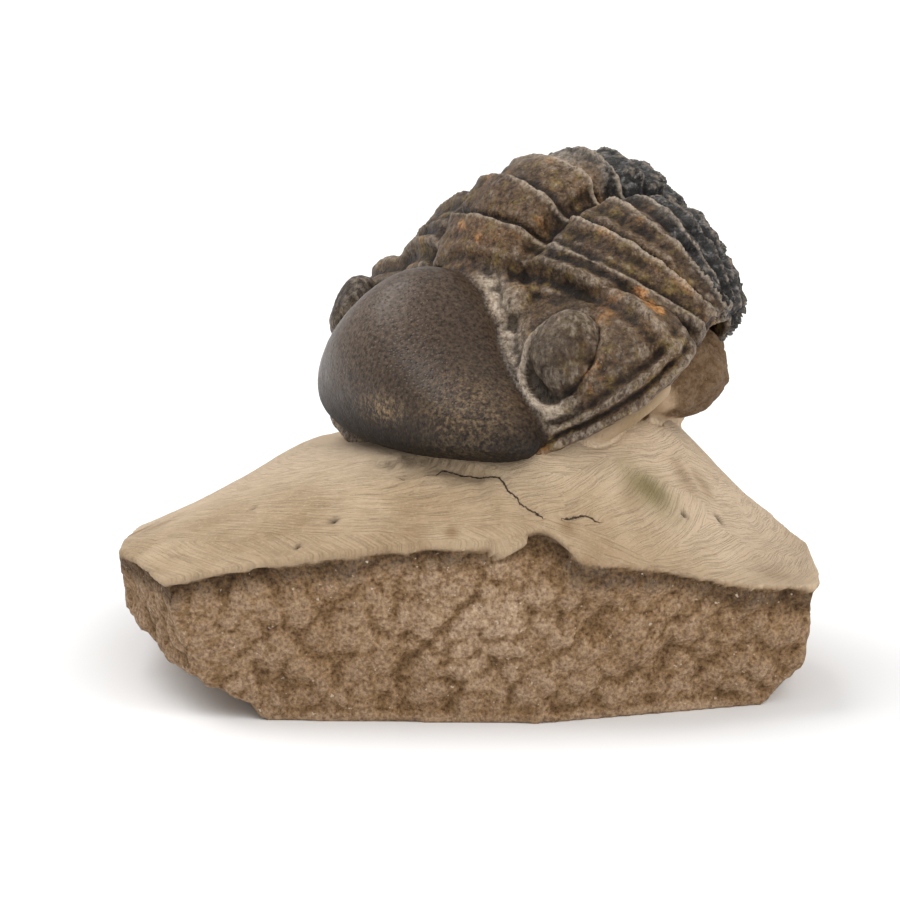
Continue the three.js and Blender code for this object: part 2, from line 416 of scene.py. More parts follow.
def round_the_eye(h):
    """Place across the nearer eye and distance from its middle, in its own half sizes."""
    near_side = h * (1, 0, 1) + np.abs(h) * (0, 1, 0)
    place = seen_from(eye_axes(1), near_side) / (EYE["across"], EYE["out"], EYE["tall"])
    return place[:, 0], np.linalg.norm(place, axis=1)


def eyes():
    pieces = []
    for side, scale in ((1, 1.0), (-1, FAR_EYE_SCALE)):
        half = [EYE[way] * scale for way in ("across", "out", "tall")]
        piece = ball("eye", (0, 0, 0), half, 48, 32)
        seat(piece, eye_axes(side))
        if side < 0:
            piece.data.flip_normals()
        pieces.append(piece)
    return pieces


NECK_LOBES = [
    # centre, half sizes
    ((-9.4, 0, 10.6), (2.7, 8.5, 6.0)),
    ((-13.4, 0, 10.9), (3.3, 8.2, 7.8)),
    ((-12.6, 9.5, 8.8), (3.2, 4.6, 5.6)),
    ((-12.6, -9.5, 8.8), (3.2, 4.6, 5.6)),
    ((-8.4, -12.5, 7.5), (3.6, 5.0, 5.2)),
    ((-8.6, 11.8, 6.8), (2.4, 4.2, 4.6)),
    ((-5.0, 9.5, 8.0), (6.0, 6.5, 5.6)),
    ((-6.2, 2.0, 9.8), (5.0, 10.0, 6.0)),
]


def head_pieces():
    pieces = [cheeks(), glabella(), *eyes()]
    pieces += [ball("neck_lobe", centre, half) for centre, half in NECK_LOBES]
    for piece in pieces:
        seat(piece, HEAD_AXES)
    return pieces


head_parts = head_pieces()
print("the head is made of", len(head_parts), "pieces")

# %% [markdown]
# ## The thorax
# Eleven rings fan round one line under the body, as the slats of a blind do when it is rolled. Each
# ring has a raised middle, the axis, and a rib on each side. One ring is modelled flat, on a grid that
# is extruded to give it an underside, and its copies are bent round the hinge line, each a little
# different. The bend is done in code because the Bend tool needs a window.

# %% One flat ring
RING = {"across": 110, "along": 12, "axis": 0.30, "axis_lift": 2.6, "rib_lift": 1.7, "furrow": 0.9}
UNDERSIDE = -1.0
UNDERSIDE_MARK = -100.0


def flat_ring():
    """A ring, from side to side along x (-1 to 1) and front to back along y (0 to 1)."""
    deselect_all()
    bpy.ops.mesh.primitive_grid_add(x_subdivisions=RING["across"], y_subdivisions=RING["along"], size=1)
    piece = named("ring")
    extrude_down(piece, -UNDERSIDE)
    p = get_points(piece)
    top = p[:, 2] > UNDERSIDE / 2
    side = p[:, 0] * 2
    along = p[:, 1] + 0.5
    out = np.abs(side)
    swell = ramp(along, -0.05, 0.30) * (0.35 + 0.65 * ramp(along, 0.15, 0.86))
    swell *= 1 - ramp(along, 0.88, 1.02)
    inside_axis = ramp(RING["axis"] - out, -0.02, 0.05)
    axis = RING["axis_lift"] * np.sqrt(np.clip(1.1 - (out / RING["axis"]) ** 2, 0, 1)) * swell * inside_axis
    knob = 0.9 * hill(out, 0.22, 0.06) * swell
    rib = RING["rib_lift"] * swell * ramp(out, RING["axis"], RING["axis"] + 0.1)
    rib_furrow = RING["furrow"] * hill(along, 0.38 + 0.25 * (out - 0.3), 0.13)
    rib_furrow *= ramp(out, 0.34, 0.42)
    rib_furrow *= 1 - ramp(out, 0.72, 0.85)
    groove = 1.5 * hill(out, RING["axis"] + 0.015, 0.03)
    relief = axis + knob + rib - rib_furrow - groove
    set_points(piece, rows(side, along, np.where(top, relief, UNDERSIDE_MARK)))
    return piece


# %% Bending the copies round the hinge line
HINGE = {"x": -22.5, "z": 50}
ARCH = {"front": 30.5, "top": 28, "rear": 19.5}
RING_STARTS = [-46, -32, -17, -4, 8, 19, 30, 40, 49, 57, 65, 72]
RINGS = {"first": -44.0, "last": 72.0, "tail_end": 118.0, "tail_rings": 6}
# where each ring of the neck starts and ends, and how much of a ring's relief it has
NECK_RINGS = [(-66, -56, 0.35), (-56, -46, 0.7)]
TAIL_LIFT = 0.5
THORAX = {"front": 36, "rear": 26, "flank": 20.5, "axis_drop": 4, "rib_tip": 2.2}
RING_OVERLAP = 1.14


def ring_wander(side, angle):
    """The rings of a squeezed fossil are not quite straight: this is how far, in degrees, one strays."""
    return 2.0 * mottle(rows(side * 2.6, angle / 11, np.zeros_like(side)), 1.0, 12)


def crest_radius(angle):
    to_front = ramp(-angle, 0, -RINGS["first"])
    to_rear = ramp(angle, 0, RINGS["last"])
    return ARCH["top"] + (ARCH["front"] - ARCH["top"]) * to_front + (ARCH["rear"] - ARCH["top"]) * to_rear


def half_width(angle):
    along = np.clip((angle - RINGS["first"]) / (RINGS["last"] - RINGS["first"]), 0, 1)
    thorax = THORAX["front"] + (THORAX["rear"] - THORAX["front"]) * along ** 1.8
    tail = np.clip((angle - RINGS["last"]) / (RINGS["tail_end"] - RINGS["last"]), 0, 1)
    return thorax * np.sqrt(np.maximum(0.05, 1 - tail ** 2))


def drop_at(side, width):
    """How far the back lies below its crest at a share of the way out to the side."""
    out = np.abs(side)
    axis = RING["axis"]
    past = np.clip((out - axis) / (1 - axis), 0, 1)
    flank = THORAX["flank"] * width / THORAX["front"]
    inner = THORAX["axis_drop"] * np.minimum(out / axis, 1) ** 2
    return inner + (flank - THORAX["axis_drop"]) * (0.22 * past + 0.78 * past ** 2.3)


def bend_ring(piece, start, pitch, lift_scale):
    p = get_points(piece)
    top = p[:, 2] > UNDERSIDE_MARK / 2
    side, along, relief = p.T
    angle = start + along * pitch * RING_OVERLAP
    angle = angle + ring_wander(side, angle)
    width = half_width(angle)
    drop = drop_at(side, width)
    step = 1e-3
    lean = (drop_at(side + step, width) - drop_at(side - step, width)) / (2 * step * width)
    size = np.sqrt(1 + lean ** 2)
    lift = relief * lift_scale - 0.6 * along
    tip = crest_radius(angle) - drop_at(np.ones_like(side), width)
    radius = np.where(top, crest_radius(angle) - drop + lift / size, tip - THORAX["rib_tip"])
    y = np.where(top, side * width + lift * lean / size, side * width * 0.96)
    a = np.radians(angle)
    x = HINGE["x"] - np.sin(a) * radius
    z = HINGE["z"] + np.cos(a) * radius
    set_points(piece, rows(x, y, z))
    seat(piece, BODY_AXES)


def thorax_pieces():
    """Bends a copy of the flat ring for each ring of the neck, the thorax and the tail."""
    pattern = flat_ring()
    pieces = []
    luck = np.random.default_rng(11)
    thorax = [(start, end, luck.uniform(0.85, 1.15)) for start, end in zip(RING_STARTS, RING_STARTS[1:])]
    last = RINGS["last"]
    pitch = (RINGS["tail_end"] - last) / RINGS["tail_rings"]
    tail = [(last + k * pitch, last + (k + 1) * pitch, TAIL_LIFT) for k in range(RINGS["tail_rings"])]
    for start, end, lift in NECK_RINGS + thorax + tail:
        piece = copy_of(pattern, "ring")
        bend_ring(piece, start + luck.uniform(-0.5, 0.5), end - start, lift)
        pieces.append(piece)
    bpy.data.objects.remove(pattern)
    return pieces


thorax_parts = thorax_pieces()
print("the thorax and tail are made of", len(thorax_parts), "rings")

# %% [markdown]
# ## One skin
# Joining and remeshing turns the overlapping pieces into a single closed skin of even cells, like clay.
# The fine relief is then pushed into it along its normals: the border of the head, the furrows, grains
# and worn edges.

# %% Fuse and sculpt the animal
trilobite = join("trilobite_fossil", head_parts + thorax_parts)
remesh(trilobite, 0.46)

# the border of the head from its margin up: relief, height above the margin and width, in mm
BORDER = [(0.7, -0.3, 0.7), (-0.7, 1.0, 0.5), (0.5, 2.0, 0.45), (-0.6, 3.2, 0.6)]
# the rear rim of the head: relief, distance ahead of the rim and width, in mm
REAR_RIM = [(0.9, 0, 0.9), (-0.7, 2.3, 1.1), (-0.5, -2.2, 0.9)]


def head_relief(h):
    """Relief of the head in mm, from places along the head's own axes."""
    x, y, z = h.T
    clear = clear_of_glabella(h)
    beside = ramp(clear, 0.3, 1.5)
    low = z + 0.4 * mottle(h, 5.0, 28)
    roll = sum(lift * hill(low, height, width) for lift, height, width in BORDER)
    relief = roll * ramp(x, -14, -8) * beside
    relief -= 1.1 * hill(clear, 3.2, 2.0) * ramp(x, -12, -6) * ramp(z, 0, 3)
    cheek = hill(np.hypot((x + 7) / 9, (np.abs(y) - 33) / 6), 0, 1)
    relief += (1.7 * (y > 0) + 0.8 * (y < 0)) * cheek * ramp(z, 0, 2.5)
    across, eye = round_the_eye(h)
    inner = ramp(-across, -0.3, 0.5)
    eye_rim = (0.2 + 0.7 * inner) * hill(eye, 1.26, 0.10)
    eye_groove = (0.35 + 0.55 * inner) * hill(eye, 1.06, 0.07)
    relief += (eye_rim - eye_groove) * beside
    relief += 0.25 * hill(eye, 0.80, 0.05) * ramp(across, 0, 0.4)
    back = -12.3 + 0.011 * (np.abs(y) - 22) ** 2
    rear = ramp(np.abs(y), 6, 11) * ramp(z, -1, 1)
    relief += sum(lift * hill(x, back + ahead, width) for lift, ahead, width in REAR_RIM) * rear
    return relief


def sculpt_animal(piece):
    points = get_points(piece)
    h = seen_from(HEAD_AXES, points)
    b = seen_from(BODY_AXES, points)
    egg = ramp(1.035 - on_glabella(h), 0, 0.02)
    angle = np.degrees(np.arctan2(HINGE["x"] - b[:, 0], b[:, 2] - HINGE["z"]))
    radius = np.hypot(b[:, 0] - HINGE["x"], b[:, 2] - HINGE["z"])
    wide = half_width(angle)
    side = np.clip(b[:, 1] / wide, -1, 1)
    skin = crest_radius(angle) - drop_at(side, wide)
    on_body = ramp(radius - skin, -4.5, -2.5) * ramp(angle, -52, -46) * (h[:, 0] < -8)
    relief = head_relief(h) * (1 - on_body) * (1 - egg)
    mm = points / MM
    dark = dark_flank(b, angle, side) * on_body
    knob = lumps(mm + 0.6 * mottle(mm, 3.0, 29)[:, None], 3.1, 21)
    grain = lumps(mm, 1.1, 22)
    crease = np.abs(mottle(mm, 4.2, 25)) + 0.5 * np.abs(mottle(mm, 1.9, 26))
    matt = 1 - egg
    relief += matt * (0.45 * rough(mm, 6.0, 23) + 0.50 * (crease - 0.45) + 0.18 * (0.5 - grain))
    relief += on_body * (0.10 + 0.65 * dark) * (0.5 - knob)
    relief += egg * (0.05 * rough(mm, 1.6, 24) + 0.10 * rough(mm, 7.0, 27))
    relief += ring_edges(side, angle) * on_body * (1 + 0.5 * dark) - 0.5 * on_body
    set_points(piece, points + get_normals(piece) * (relief * MM)[:, None])
    return {"egg": egg, "on_body": on_body, "dark": dark, "h": h, "side": side, "angle": angle}


def ring_edges(side, angle):
    """Sharpens each ring: a raised lip along its rear edge, and a groove behind it."""
    straight = angle - ring_wander(side, angle)
    relief = np.zeros(len(angle))
    for start in RING_STARTS:
        gap = straight - start
        relief += 0.5 * hill(gap, -0.9, 0.9) - 0.75 * hill(gap, 1.5, 0.8)
    worn = mottle(rows(side * 5, angle / 9, np.zeros_like(side)), 1.0, 13)
    return relief * (0.25 + 0.85 * ramp(worn, -0.6, 0.3))


def dark_flank(b, angle, side):
    """1 on the nearly black rings behind the top of the arch. They reach further forwards low down."""
    reach = 11 * ramp(side, 0.45, 1.0)
    return ramp(angle + 5 * mottle(b, 6.0, 31) + reach, -14, -5)


masks = sculpt_animal(trilobite)
print("the animal now spans", [round(float(s), 4) for s in np.ptp(get_points(trilobite), axis=0)], "m")

# %% Paint what the finishes need on the animal
NECK_MIDDLE = (-11.5, 0, 17)
# the middle of the painted sheen on the glabella, along the axes of the head
SHEEN_MIDDLE = (10, -2, 20)
# where gold-brown shows through the glabella: middle, half sizes and strength
GOLD = [((21.6, 8.8, 12.8), (3.0, 4.5, 1.6), 1.0), ((17, 23, 10.5), (7, 8, 5), 0.4)]
RUSTY_RING = {"angle": -33, "width": 2.5, "strength": 0.6}
IRON_SPOTS = [
    # place along the axes of the head, and size
    ((-12.0, -2.0, 17.7), 1.7),
    ((-11.0, 2.5, 17.0), 1.6),
    ((-14.6, 29.6, 7.1), 1.6),
    ((-13.6, 31.3, 6.2), 1.8),
    ((-12.4, 33.4, 5.1), 1.5),
]


def near(points, middle, size):
    """1 at a middle, falling off over a size, or over a size for each axis."""
    return hill(np.linalg.norm((points - middle) / np.array(size), axis=1), 0, 1)


def iron_stain(h, side, straight):
    """Where rust soaked in: a few spots on the neck and the cheek, and one ring."""
    stain = 0.14 * near(h, NECK_MIDDLE, 8)
    for centre, size in IRON_SPOTS:
        gap = np.linalg.norm(h - centre, axis=1) * (1 + 0.25 * mottle(h, 1.5, 32))
        stain = np.maximum(stain, 1 - ramp(gap, 0.75 * size, 1.15 * size))
    ring = hill(straight, RUSTY_RING["angle"], RUSTY_RING["width"])
    ring *= ramp(side, 0.3, 0.6) * ramp(mottle(h, 4.0, 33), -0.4, 0.4)
    return np.maximum(stain, RUSTY_RING["strength"] * ring)


def pale_dust_and_sheen(masks, across, eye, straight):
    """Dust in the furrow beside the glabella and round the eye, dust and painted highlights along the ring
    edges, and a painted sheen on the summit.
    """
    x, y, z = masks["h"].T
    side = masks["side"]
    clear = clear_of_glabella(masks["h"])
    furrow = hill(clear, 2.6, 2.6) * ramp(x, -9, -5) * ramp(y, 3, 8) * ramp(z, 1, 4)
    rim = hill(eye, 1.15, 0.13) * ramp(-across, -0.1, 0.5)
    lip = np.zeros(len(x))
    for start in RING_STARTS[:4]:
        lip = np.maximum(lip, hill(straight - start, -1.0, 1.3))
    lip *= masks["on_body"] * ramp(side, -0.1, 0.15)
    # summit: a painted sheen on top of the arch; lip: dust and painted highlights on the ring edges
    summit = 0.8 * hill(masks["angle"], -13, 7) * hill(side, -0.12, 0.2) * masks["on_body"]
    return np.clip(furrow + rim + 0.7 * lip + summit, 0, 1)


def soot(h, eye):
    """How much darker the eyes, the cheeks and the neck are."""
    x, y, _ = h.T
    cheek = 0.5 * hill(np.hypot((x + 3) / 9, (np.abs(y) - 30) / 9), 0, 1) * ramp(eye, 1.2, 1.5)
    neck = 0.4 * near(h, NECK_MIDDLE, 10)
    return np.maximum(1 - ramp(eye, 0.96, 1.12), np.maximum(cheek, neck))


def paint_animal(piece, masks):
    h = masks["h"]
    egg = masks["egg"]
    matt = 1 - egg
    side = masks["side"]
    straight = masks["angle"] - ring_wander(side, masks["angle"])
    across, eye = round_the_eye(h)
    fine = hollows(piece, 3, 0.10)
    broad = hollows(piece, 24, 0.9)
    height = get_points(piece)[:, 2] / MM
    golden = np.max([strength * near(h, middle, half) for middle, half, strength in GOLD], axis=0)
    paint(piece, "hollow", np.clip(0.55 * fine + 0.75 * broad, -1, 1) * matt)
    paint(piece, "egg", egg)
    paint(piece, "dark", masks["dark"])
    paint(piece, "pale_dust_and_sheen", pale_dust_and_sheen(masks, across, eye, straight) * matt)
    # painted shade on the lower part of the glabella, and a painted sheen on its front
    paint(piece, "low", (1 - ramp(height, 39, 47.5)) * egg)
    paint(piece, "painted_sheen", near(h, SHEEN_MIDDLE, 11) * egg)
    paint(piece, "golden", golden * egg)
    paint(piece, "sooty", soot(h, eye) * matt)
    paint(piece, "iron_stain", iron_stain(h, side, straight) * matt)


paint_animal(trilobite, masks)

# %% [markdown]
# ## The rock
# Only the top of the block was worked: the carver ground a smooth saddle round the fossil with a small
# rotary tool. The sides are broken faces. So the top is a grid lifted to the carved shape and extruded
# down, and each broken face is one bisect that fills its cut. The rock that is left inside the roll,
# under the head and behind the tips of the rings starts as three spheres.

# %% The carved top
FOOT = {"x": 2, "y": 0, "along": 23, "across": 32, "height": 36, "tilt": 0.17}
APRON = {"height": 14.5, "tilt": 4.5, "blend": 6}


def round_the_foot(x, y):
    """Distance outside the foot of the fossil, in mm, and the direction round it."""
    dx = x - FOOT["x"]
    dy = y - FOOT["y"]
    ahead = dx * math.cos(HEADING) + dy * math.sin(HEADING)
    left = -dx * math.sin(HEADING) + dy * math.cos(HEADING)
    reach = np.hypot(ahead / FOOT["along"], left / FOOT["across"])
    out = np.maximum(0, np.hypot(dx, dy) * (1 - 1 / np.maximum(reach, 1)))
    return out, np.arctan2(left, ahead), left


def carved_height(x, y):
    out, turn, left = round_the_foot(x, y)
    slope = 0.95 - 0.4 * np.cos(turn) + 0.22 * np.sin(turn) - 0.15 * np.cos(2 * turn)
    side = np.clip(left, -FOOT["across"], FOOT["across"])
    fall = FOOT["height"] + FOOT["tilt"] * side - slope * (np.sqrt(out * out + 9) - 3)
    apron = APRON["height"] + APRON["tilt"] * np.sin(turn)
    shoulder = 3.6 * hill(np.hypot(x - 43, (y - 8) / 1.3), 0, 13)
    return (fall + apron + np.hypot(fall - apron, APRON["blend"])) / 2 + shoulder


# the top is extruded down by this much, and the last break cuts it off level
THICK = 80


def block_blank():
    """The carved top as a grid, on a block of its full thickness."""
    centre = (block_low + block_high) / 2
    size = block_high - block_low
    deselect_all()
    bpy.ops.mesh.primitive_grid_add(
        x_subdivisions=180,
        y_subdivisions=150,
        size=1,
        location=(centre[0], centre[1], 0),
        scale=(size[0], size[1], 1),
    )
    piece = named("rock_blank")
    seat(piece, Matrix.Identity(4))
    p = get_points(piece)
    p[:, 2] = carved_height(p[:, 0] / MM, p[:, 1] / MM) * MM
    set_points(piece, p)
    extrude_down(piece, THICK * MM)
    return piece


# %% Breaking the sides away
BREAKS = [
    # a point on the broken face, and the way that the face looks
    ((-30, -40, 0), (-0.04, -0.98, -0.17)),
    ((49, -30.5, 0), (0.27, -0.93, -0.24)),
    ((-30, -40, 0), (-0.48, -0.10, -0.87)),
    ((-45, -42, 20), (-0.89, -0.37, -0.26)),
    ((-46, 28, 10), (-0.80, 0.58, -0.14)),
    ((51.8, -34, 14), (0.98, -0.10, -0.16)),
    ((51, -35, 12), (0.66, -0.74, 0.06)),
    ((50.5, -28, 4), (0.62, -0.22, -0.74)),
    ((45.5, 8, 20), (0.90, 0.42, 0.10)),
    ((5, 44.6, 14), (0.06, 0.99, 0.05)),
    ((-10, 38, 0), (-0.10, 0.72, -0.69)),
    ((0, 0, 0), (0, 0, -1)),
]


def break_sides(piece):
    pick(piece)
    bpy.ops.object.mode_set(mode="EDIT")
    for place, facing in BREAKS:
        bpy.ops.mesh.select_all(action="SELECT")
        spot = [c * MM for c in place]
        bpy.ops.mesh.bisect(plane_co=spot, plane_no=facing, use_fill=True, clear_outer=True)
    bpy.ops.object.mode_set(mode="OBJECT")


PLUG = {"ahead": 2, "below": 2, "half": (18.5, 27.5, 13)}
TIP_ROCK = {"centre": (-16.5, 28.5, 49), "half": (9.5, 7.0, 8.0)}
HEAD_PAD = {"centre": (-6.5, 0, -3.8), "half": (26, 36.5, 6.0)}


def rock_plug():
    """Rock that fills the roll of the body: a ball swollen into a barrel."""
    piece = ball("rock_plug", (0, 0, 0), (1, 1, 1), 64, 32)
    x, y, z = get_points(piece).T
    length, width, height = PLUG["half"]
    barrel = np.sign(y) * np.abs(y) ** 0.7
    x = HINGE["x"] + PLUG["ahead"] + length * x
    z = HINGE["z"] - PLUG["below"] + height * z
    set_points(piece, rows(x, width * barrel, z))
    seat(piece, BODY_AXES)
    return piece


def stray_rock(name, place, axes, segments, rings):
    """Rock left under the head's margin, and between the tips of the rings and the head."""
    piece = ball(name, place["centre"], place["half"], segments, rings)
    seat(piece, axes)
    return piece


blank = block_blank()
break_sides(blank)
left_over = [
    rock_plug(),
    stray_rock("tip_rock", TIP_ROCK, BODY_AXES, 32, 24),
    stray_rock("head_pad", HEAD_PAD, HEAD_AXES, 72, 32),
]
block = join("limestone_rock", left_over + [blank])
remesh(block, 0.65)

# %% [markdown]
# ## Broken and carved stone
# The broken faces get lumps and grains pushed out of them, and the carved top stays smooth apart from
# its chips, pits and two cracks. The sharp edge between the two is nibbled a little, as a real broken
# edge is.

# %% Sculpt the rock
CRACKS = [
    # corners of each crack, seen from above
    [
        (-10, -31.3),
        (-5.8, -32.4),
        (-4.2, -31.0),
        (-0.5, -33.8),
        (4.7, -36.3),
        (5.8, -38.1),
        (7.6, -39.8),
        (10.5, -41.1),
    ],
    [(14.0, -41.0), (16.5, -40.2), (19.0, -39.9)],
]
PITS = [
    # place seen from above, and size
    ((-19.9, -37.4), 0.55),
    ((-32.4, -26.8), 0.3),
    ((-25, -42.0), 0.3),
    ((38.1, -25.5), 0.45),
    ((32.4, -31.5), 0.3),
]


def distance_to_path(x, y, path):
    """Distance from a path seen from above, positive on its left and negative on its right."""
    nearest = np.full(len(x), 1e3)
    for (ax, ay), (bx, by) in zip(path, path[1:]):
        dx, dy = bx - ax, by - ay
        t = np.clip(((x - ax) * dx + (y - ay) * dy) / (dx * dx + dy * dy), 0, 1)
        gap = np.hypot(x - ax - t * dx, y - ay - t * dy)
        side = np.where(dx * (y - ay) - dy * (x - ax) < 0, -1, 1)
        nearest = np.where(gap < np.abs(nearest), gap * side, nearest)
    return nearest


CHIP = {"x": 10.5, "half_width": 5.5, "depth": 3.6}
FLAKE = {"x": 6.0, "half_width": 2.6, "hangs": 1.7}


def knock_out_chip(piece):
    """A flake is missing from the middle of the front edge, so the edge steps back there."""
    mm = get_points(piece) / MM
    x, y, z = mm.T
    top = carved_height(x, y)
    depth = CHIP["depth"] * hill(x, CHIP["x"], CHIP["half_width"])
    depth *= ramp(-y, 33, 43) * ramp(z, 19, 26)
    mm[:, 1] += depth
    mm[:, 2] += (carved_height(x, mm[:, 1]) - top) * ramp(z - top, -6, -0.5)
    set_points(piece, mm * MM)


LEDGE = {"front": -29.0, "centre": -6, "slope": 0.55, "starts": (-16, -12), "ends": (1, 4)}


def front_ledge(mm):
    """Where a thin layer came away from the carved top, and the painted shadow line along its edge."""
    x, y, _ = mm.T
    step = LEDGE["front"] - y - LEDGE["slope"] * (x - LEDGE["centre"])
    step = step + 1.3 * mottle(mm, 3.0, 50) + 0.6 * mottle(mm, 1.2, 51)
    begun = ramp(x, *LEDGE["starts"])
    ledge = ramp(step, 0, 0.7) * (1 - ramp(step, 3.0, 5.5))
    ledge *= begun * (1 - ramp(x, *LEDGE["ends"]))
    # painted shadow along the edge of the ledge
    line = 0.6 * hill(step, 0.3, 0.45) * begun * (1 - ramp(x, -3, 0))
    return ledge, line


def crack_gap(mm):
    """How far each point is from the nearest crack."""
    x, y, _ = mm.T
    x = x + 0.35 * mottle(mm, 1.6, 48)
    y = y + 0.35 * mottle(mm, 1.6, 49)
    gap = np.full(len(mm), 9.0)
    for path in CRACKS:
        other = distance_to_path(x, y, path)
        gap = np.where(np.abs(other) < np.abs(gap), other, gap)
    return gap


def pinholes(mm):
    pit = np.zeros(len(mm))
    for (px, py), size in PITS:
        pit = np.maximum(pit, hill(np.hypot(mm[:, 0] - px, mm[:, 1] - py), 0, size + 0.15))
    return pit


def broken_relief(mm):
    """The relief of a broken face, lumps of three sizes with creases, and its crevices."""
    warped = mm + 1.5 * np.stack([mottle(mm, 4.0, seed) for seed in (71, 72, 73)], axis=1)
    big = lumps(warped, 7.5, 42)
    small = lumps(warped, 3.4, 43)
    grain = lumps(mm, 1.5, 44)
    crease = np.abs(mottle(warped, 5.5, 74)) + 0.5 * np.abs(mottle(warped, 2.3, 75))
    crease = crease + 0.25 * np.abs(mottle(mm, 1.2, 76))
    relief = 1.5 * (0.4 - big ** 2) + 1.0 * (0.4 - small ** 2) + 0.35 * (0.4 - grain ** 2)
    relief += 0.5 * (crease - 0.6) + 1.1 * rough(mm, 11.0, 45) - 1.1
    return relief, np.clip(1.0 * (small ** 2 - 0.38) + 0.5 * (big ** 2 - 0.38), -1, 1)


def rock_zones(points, above, upturned):
    """Masks of the carved top, the plug in the roll, the rock under the head and the hanging flake."""
    mm = points / MM
    x, y, _ = mm.T
    h = seen_from(HEAD_AXES, points)
    wander = 0.5 * rough(mm, 3.0, 41)
    under_head = ramp(h[:, 2], -12, -9) * ramp(h[:, 0] + wander, -9, -6.5)
    plug = ramp(above, 1.5, 3.0) * (1 - under_head)
    flake = hill(x + 0.4 * wander, FLAKE["x"], FLAKE["half_width"]) * ramp(-y, 30, 36)
    upward = np.maximum(ramp(upturned, 0.05, 0.35), 1 - ramp(round_the_foot(x, y)[0], 8, 12))
    upward = np.maximum(upward, under_head * ramp(26 + 2 * wander - x, 0, 2))
    upward = np.maximum(upward, flake)
    loose = ramp(flake, 0.3, 0.5)
    hang = wander - FLAKE["hangs"] * loose
    carved = ramp(above, -1.5 + hang, -0.5 + hang) * upward * (1 - plug)
    return {
        "carved": carved,
        "plug": plug,
        "under_head": under_head * ramp(above, 0.5, 2.0),
        "hanging": carved * loose * ramp(-above, 0.5, 1.5),
    }


def sculpt_rock(piece):
    points = get_points(piece)
    smooth_normal = blurred(piece, get_normals(piece), 4)
    upturned = smooth_normal[:, 2]
    top = carved_height(points[:, 0] / MM, points[:, 1] / MM)
    lost = top - points[:, 2] / MM
    sunk = np.clip(lost, 0, 4) * ramp(upturned, 0.3, 0.5)
    points[:, 2] += np.where(lost < 4, sunk, 0) * MM
    mm = points / MM
    z = mm[:, 2]
    masks = rock_zones(points, z - top, upturned)
    carved = masks["carved"]
    broken, crevice = broken_relief(mm)
    gap = crack_gap(mm)
    pit = pinholes(mm)
    ledge, ledge_shadow_line = front_ledge(mm)
    relief = (1 - carved) * broken * ramp(z, 0.2, 2.0)
    relief += carved * (0.16 * rough(mm, 6.0, 46) + 0.06 * rough(mm, 1.6, 47))
    relief -= carved * (0.45 * hill(gap, 0, 0.5) + 0.7 * pit)
    relief -= ledge * carved
    relief += masks["hanging"]
    moved = points + smooth_normal * (relief * MM)[:, None]
    inset = np.array([1e-5, 1e-5, 0])
    set_points(piece, np.clip(moved, block_low + inset, block_high - inset))
    masks["crevice"] = crevice * (1 - carved)
    masks["gap"] = gap
    masks["crack"] = hill(gap, 0, 1.0) * carved
    # the pits, and the painted shadow line along the ledge
    masks["pit"] = np.maximum(pit, ledge_shadow_line) * carved
    return masks


knock_out_chip(block)
rock_masks = sculpt_rock(block)


# %% Paint what the finishes need on the rock
STAINS = [
    # place seen from above, size and strength
    ((-52, -9), 3.5, 0.8),
    ((-48, -14), 3.0, 0.5),
    ((-2.4, -43.8), 1.2, 0.8),
    ((14.5, -41.8), 1.3, 0.7),
    ((33, -25), 2.4, 0.5),
    ((36, -22), 1.8, 0.5),
    ((24, -36), 2.0, 0.4),
    ((-8, -43.5), 3.0, 0.35),
    ((46, -31), 4.0, 0.35),
]


def paint_rock(piece, masks):
    points = get_points(piece)
    mm = points / MM
    x, y, z = mm.T
    fine = hollows(piece, 2, 0.14)
    broad = hollows(piece, 14, 0.9)
    paint(piece, "hollow", np.clip(0.5 * fine + 0.25 * broad + 0.8 * masks["crevice"], -1, 1))
    paint(piece, "carved", masks["carved"])
    paint(piece, "crack_gap", masks["gap"])
    paint(piece, "crack_near", masks["crack"])
    # pits, and the painted shadow line along the ledge
    paint(piece, "pit", masks["pit"])
    below = carved_height(x, y) - z
    wander = 1.2 * rough(mm, 4.0, 61)
    band = ramp(below, 0.3, 1.2) * (1 - ramp(below + wander, 2.8, 6.0))
    paint(piece, "weathered_band", band * (1 - masks["carved"]))
    paint(piece, "pale_lumps", hill(np.hypot((x - 1) / 12, (z - 16) / 6.5), 0, 1) * ramp(-y, 25, 35))
    out, turn, _ = round_the_foot(x, y)
    wobble = 1 + 0.5 * rough(mm, 3.0, 62)
    stain = np.zeros(len(mm))
    for (sx, sy), size, strength in STAINS:
        stain = np.maximum(stain, strength * hill(np.hypot(x - sx, y - sy) * wobble, 0, size))
    stain = np.maximum(stain, 0.45 * masks["under_head"])
    stain = np.maximum(stain, 0.22 * ramp(-y, 32, 43) * (0.7 + 0.3 * rough(mm, 5.0, 63)))
    paint(piece, "rust_stain", stain)
    paint(piece, "weathered_plug", masks["plug"])
    olive = hill(np.hypot((x - 27) / 1.6, y + 32.3) * wobble, 0, 2.4) * masks["carved"]
    paint(piece, "olive_patch", olive)
    tooled = masks["carved"] * (1 - masks["under_head"]) * ramp(out, 0.2, 1.0)
    paint(piece, "tooled", tooled)
    # painted light that brightens part of the carved top
    paint(piece, "sunny", ramp(y + 0.25 * x, -42, -18) * masks["carved"])
    layer = piece.data.attributes.new("tool_place", "FLOAT_VECTOR", "POINT")
    place = rows(turn * 28, out, z)
    layer.data.foreach_set("vector", place.astype(np.float32).ravel())


paint_rock(block, rock_masks)

# %% [markdown]
# ## Shared effects for the finishes
# Both stones are mottled, both get painted shade in their hollows and painted highlights on their
# crests, and both need fine bump. Each effect is one node group that is placed in each material with
# its own values.

